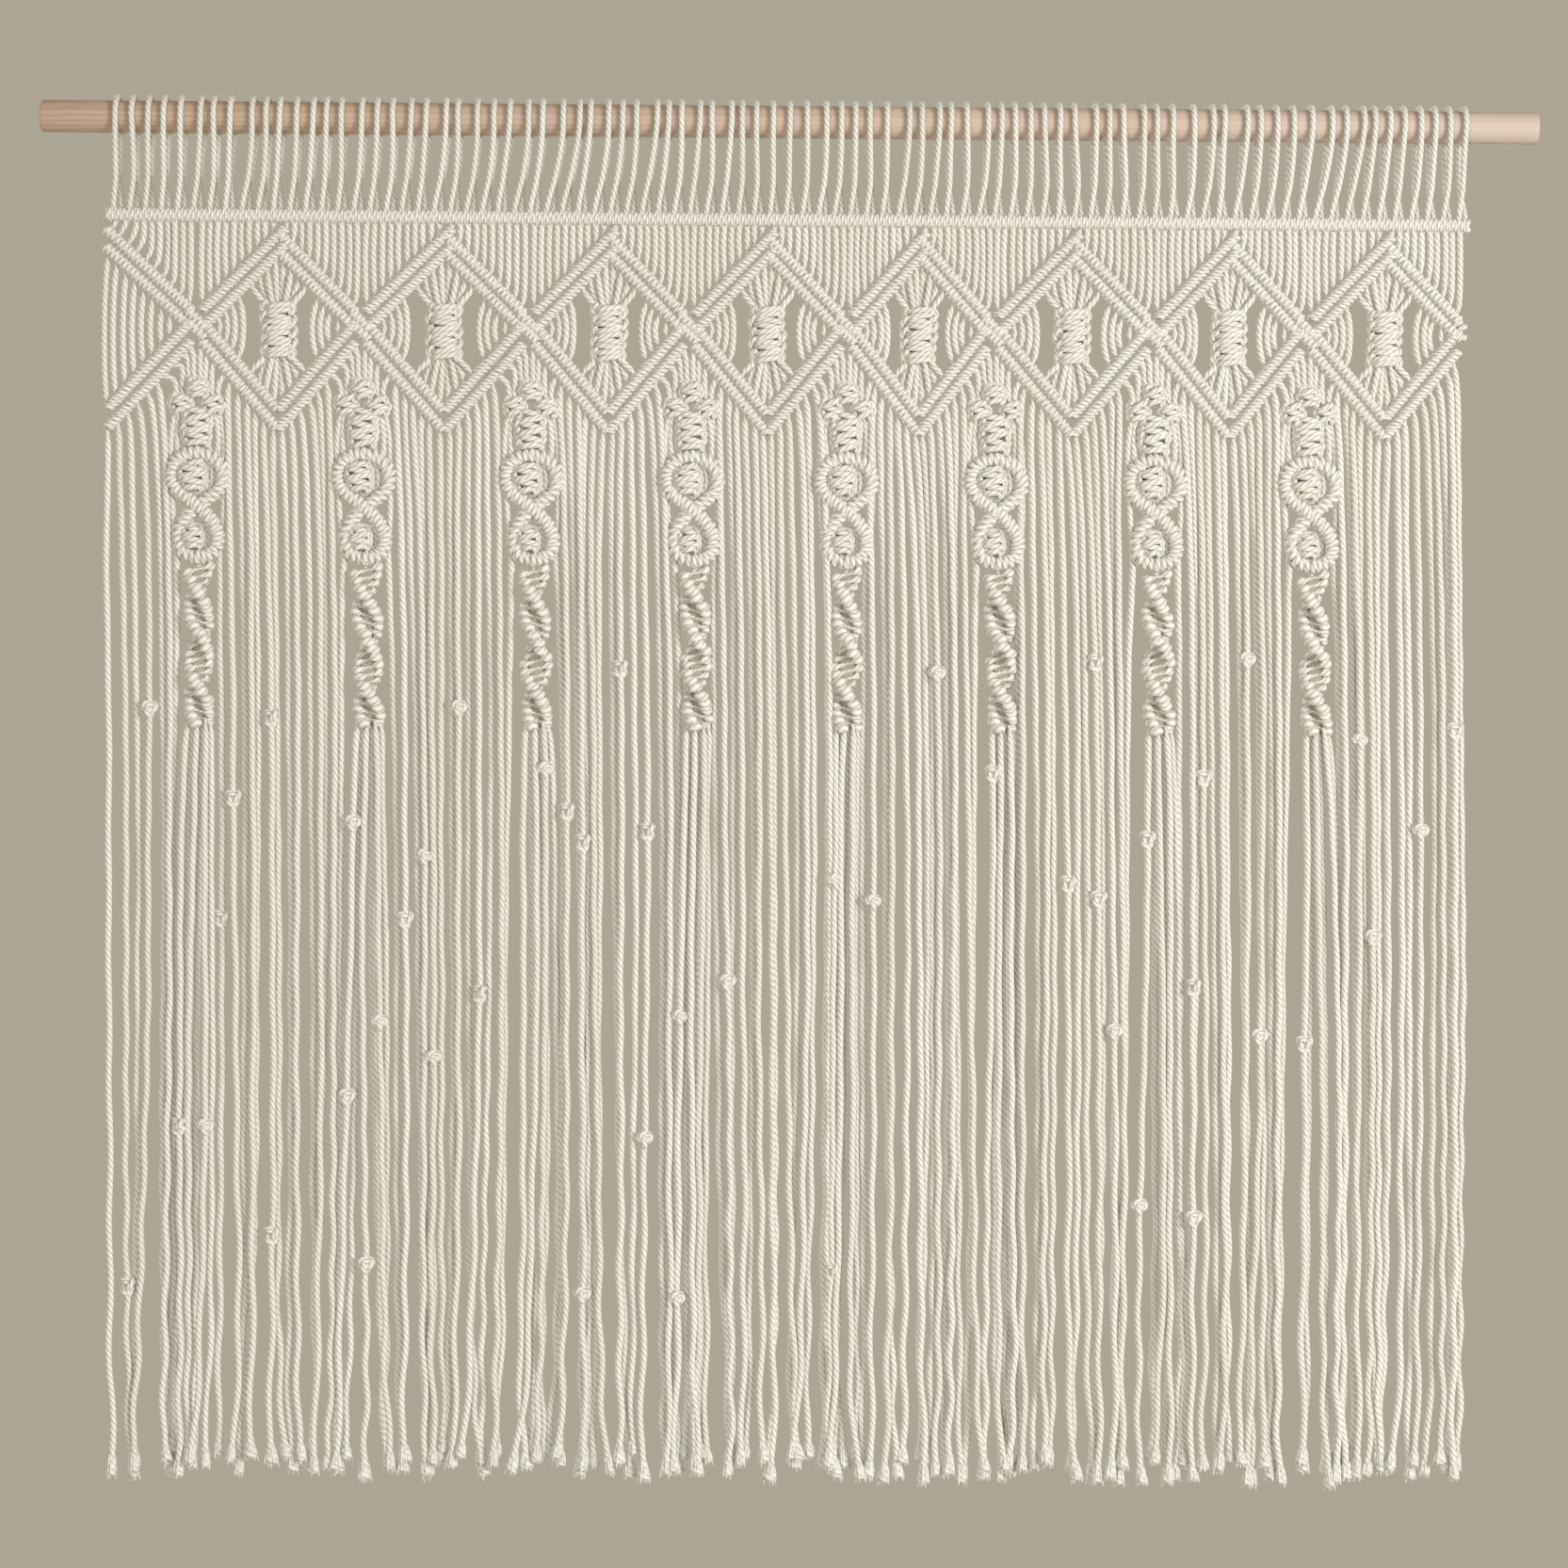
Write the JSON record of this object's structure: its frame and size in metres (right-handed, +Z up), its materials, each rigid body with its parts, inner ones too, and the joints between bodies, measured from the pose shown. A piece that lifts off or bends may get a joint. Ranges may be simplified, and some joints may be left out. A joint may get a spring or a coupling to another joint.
{
  "type": "macrame curtain on a wooden rod",
  "caption": "Knotted cotton curtain folded over a round wooden rod, with a header bar, a diamond lattice, knotted columns and a long cord fringe",
  "frame": {"origin": "middle of the rod, on its axis", "axes": "+X along the rod to the viewer's right, -Y towards the viewer, +Z up; the cords hang down in the XZ plane"},
  "size_m": [0.984, 0.031, 0.9075],
  "materials": {
    "cotton cord": "matte twisted cotton",
    "rod wood": "bare sanded wood"
  },
  "bodies": {
    "root": {"rod": "rod wood", "heading": "cotton cord", "lattice": "cotton cord", "fringe_1": "cotton cord", "fringe_2": "cotton cord", "fringe_3": "cotton cord", "fringe_4": "cotton cord", "fringe_5": "cotton cord", "fringe_6": "cotton cord", "fringe_7": "cotton cord", "fringe_8": "cotton cord", "fringe_9": "cotton cord", "column_1": "cotton cord", "column_2": "cotton cord", "column_3": "cotton cord", "column_4": "cotton cord", "column_5": "cotton cord", "column_6": "cotton cord", "column_7": "cotton cord", "column_8": "cotton cord"}
  },
  "joints": []
}
